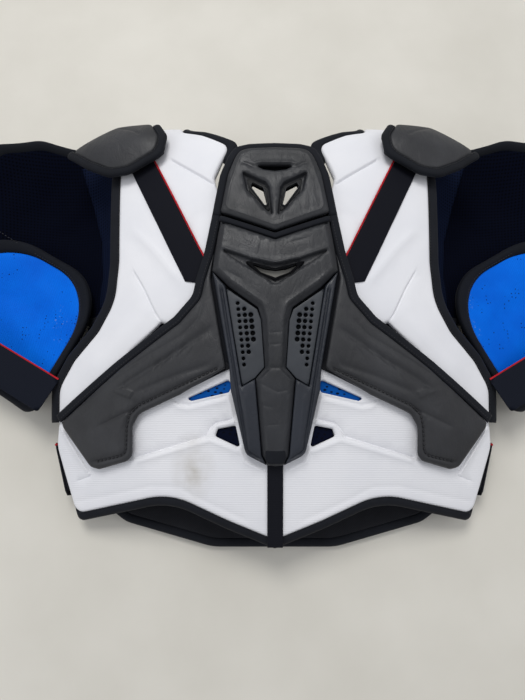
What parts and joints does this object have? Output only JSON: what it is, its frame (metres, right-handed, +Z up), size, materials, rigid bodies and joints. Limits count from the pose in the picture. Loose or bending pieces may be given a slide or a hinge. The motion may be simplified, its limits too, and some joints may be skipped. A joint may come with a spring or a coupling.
{
  "type": "hockey shoulder pads",
  "caption": "Padded torso protector with a spine plate, vented yoke, shoulder caps, epaulets, bicep guards and side belts.",
  "frame": {"origin": "bottom centre of the bounding box, on the floor that the pads lie on, chest down", "axes": "+X to the wearer's right, +Y towards the shoulders, +Z up, out of the wearer's back"},
  "size_m": [0.7944, 0.452, 0.12],
  "materials": {
    "white_foam": "smooth knitted skin over moulded foam, fine ribs on the lower back",
    "mesh_liner": "square spacer mesh",
    "binding_tape": "folded and stitched tape, matte",
    "webbing": "ribbed elastic webbing with a red edge",
    "backing_fabric": "plain woven, matte",
    "front_foam": "knitted skin over foam",
    "blue_mesh": "perforated liner",
    "navy_mesh": "perforated liner",
    "pad_leather": "synthetic leather, satin, finely creased",
    "moulded_rail": "moulded skin, satin",
    "moulded_base": "moulded tray, matte",
    "grille_rubber": "moulded, matte",
    "cap_plastic": "moulded shell, satin",
    "blue_lining": "bright brushed lining with fine ribs"
  },
  "bodies": {
    "torso": {"back_panel": "white_foam", "back_liner": "mesh_liner", "back_hem_binding": "binding_tape", "spine_strap": "webbing", "yoke_backing": "backing_fabric", "front_panel": "front_foam", "front_hem_binding": "binding_tape", "belly_pad": "front_foam", "upper_window_left": "blue_mesh", "upper_window_right": "blue_mesh", "lower_window_left": "navy_mesh", "lower_window_right": "navy_mesh", "shoulder_arch_left": "white_foam", "shoulder_arch_right": "white_foam", "armhole_binding_left": "binding_tape", "armhole_binding_right": "binding_tape", "collar_band_left": "binding_tape", "collar_band_right": "binding_tape", "shoulder_strap_left": "webbing", "shoulder_strap_right": "webbing", "wing_pad_left": "pad_leather", "wing_pad_right": "pad_leather", "yoke_binding_left": "binding_tape", "yoke_binding_right": "binding_tape", "chest_pad_left": "front_foam", "chest_pad_right": "front_foam", "rib_pad_left": "front_foam", "rib_pad_right": "front_foam"},
    "neck_plate": {"neck_plate_pad": "pad_leather", "neck_plate_base": "moulded_base", "neck_plate_binding": "binding_tape"},
    "spine_guard": {"spine_guard_pad": "pad_leather", "spine_guard_base": "moulded_base", "vent_grille_left": "grille_rubber", "vent_grille_right": "grille_rubber", "spine_guard_rail_left": "moulded_rail", "spine_guard_rail_right": "moulded_rail"},
    "sternum_flap": {"sternum_guard": "front_foam"},
    "shoulder_cap_left": {"shoulder_cap_shell_left": "cap_plastic", "shoulder_cap_liner_left": "mesh_liner", "shoulder_cap_binding_left": "binding_tape"},
    "bicep_guard_left": {"bicep_guard_shell_left": "cap_plastic", "bicep_guard_lining_left": "blue_lining", "bicep_guard_binding_left": "binding_tape"},
    "arm_strap_left": {"bicep_strap_left": "webbing"},
    "epaulet_left": {"epaulet_pad_left": "pad_leather", "epaulet_binding_left": "binding_tape"},
    "waist_belt_left": {"side_belt_left": "webbing"},
    "shoulder_cap_right": {"shoulder_cap_shell_right": "cap_plastic", "shoulder_cap_liner_right": "mesh_liner", "shoulder_cap_binding_right": "binding_tape"},
    "bicep_guard_right": {"bicep_guard_shell_right": "cap_plastic", "bicep_guard_lining_right": "blue_lining", "bicep_guard_binding_right": "binding_tape"},
    "arm_strap_right": {"bicep_strap_right": "webbing"},
    "epaulet_right": {"epaulet_pad_right": "pad_leather", "epaulet_binding_right": "binding_tape"},
    "waist_belt_right": {"side_belt_right": "webbing"}
  },
  "joints": [
    {"name": "neck_plate_lift", "type": "hinge", "parent": "torso", "child": "neck_plate", "pos_m": [0, 0.079, 0.119], "axis": [1, 0, 0], "range_deg": [0, 20]},
    {"name": "spine_guard_lift", "type": "hinge", "parent": "torso", "child": "spine_guard", "pos_m": [0, 0.098, 0.1205], "axis": [-1, 0, 0], "range_deg": [0, 10]},
    {"name": "sternum_guard_flex", "type": "hinge", "parent": "torso", "child": "sternum_flap", "pos_m": [0, 0.1, 0.0065], "axis": [1, 0, 0], "range_deg": [0, 15]},
    {"name": "cap_swing_right", "type": "hinge", "parent": "torso", "child": "shoulder_cap_right", "pos_m": [0.165, 0.15, 0.05], "axis": [0, 0, 1], "range_deg": [0, 20]},
    {"name": "bicep_guard_fold_right", "type": "hinge", "parent": "shoulder_cap_right", "child": "bicep_guard_right", "pos_m": [0.244, 0.089, 0.019], "axis": [-0.866, -0.5, 0], "range_deg": [0, 45]},
    {"name": "bicep_strap_open_right", "type": "hinge", "parent": "bicep_guard_right", "child": "arm_strap_right", "pos_m": [0.38917, 0.02155, 0.0485], "axis": [-0.5, 0.866, 0], "range_deg": [0, 100]},
    {"name": "epaulet_flap_right", "type": "hinge", "parent": "torso", "child": "epaulet_right", "pos_m": [0.1125, 0.187, 0.1], "axis": [0, -1, 0], "range_deg": [0, 80]},
    {"name": "side_belt_swing_right", "type": "hinge", "parent": "torso", "child": "waist_belt_right", "pos_m": [0.2194, -0.1423, 0.0229], "axis": [-0.2912, -0.9567, 0], "range_deg": [0, 90]},
    {"name": "cap_swing_left", "type": "hinge", "parent": "torso", "child": "shoulder_cap_left", "pos_m": [-0.165, 0.15, 0.05], "axis": [0, 0, -1], "range_deg": [0, 20]},
    {"name": "bicep_guard_fold_left", "type": "hinge", "parent": "shoulder_cap_left", "child": "bicep_guard_left", "pos_m": [-0.244, 0.089, 0.019], "axis": [-0.866, 0.5, 0], "range_deg": [0, 45]},
    {"name": "bicep_strap_open_left", "type": "hinge", "parent": "bicep_guard_left", "child": "arm_strap_left", "pos_m": [-0.38917, 0.02155, 0.0485], "axis": [-0.5, -0.866, 0], "range_deg": [0, 100]},
    {"name": "epaulet_flap_left", "type": "hinge", "parent": "torso", "child": "epaulet_left", "pos_m": [-0.1125, 0.187, 0.1], "axis": [0, 1, 0], "range_deg": [0, 80]},
    {"name": "side_belt_swing_left", "type": "hinge", "parent": "torso", "child": "waist_belt_left", "pos_m": [-0.2194, -0.1423, 0.0229], "axis": [-0.2912, 0.9567, 0], "range_deg": [0, 90]}
  ]
}
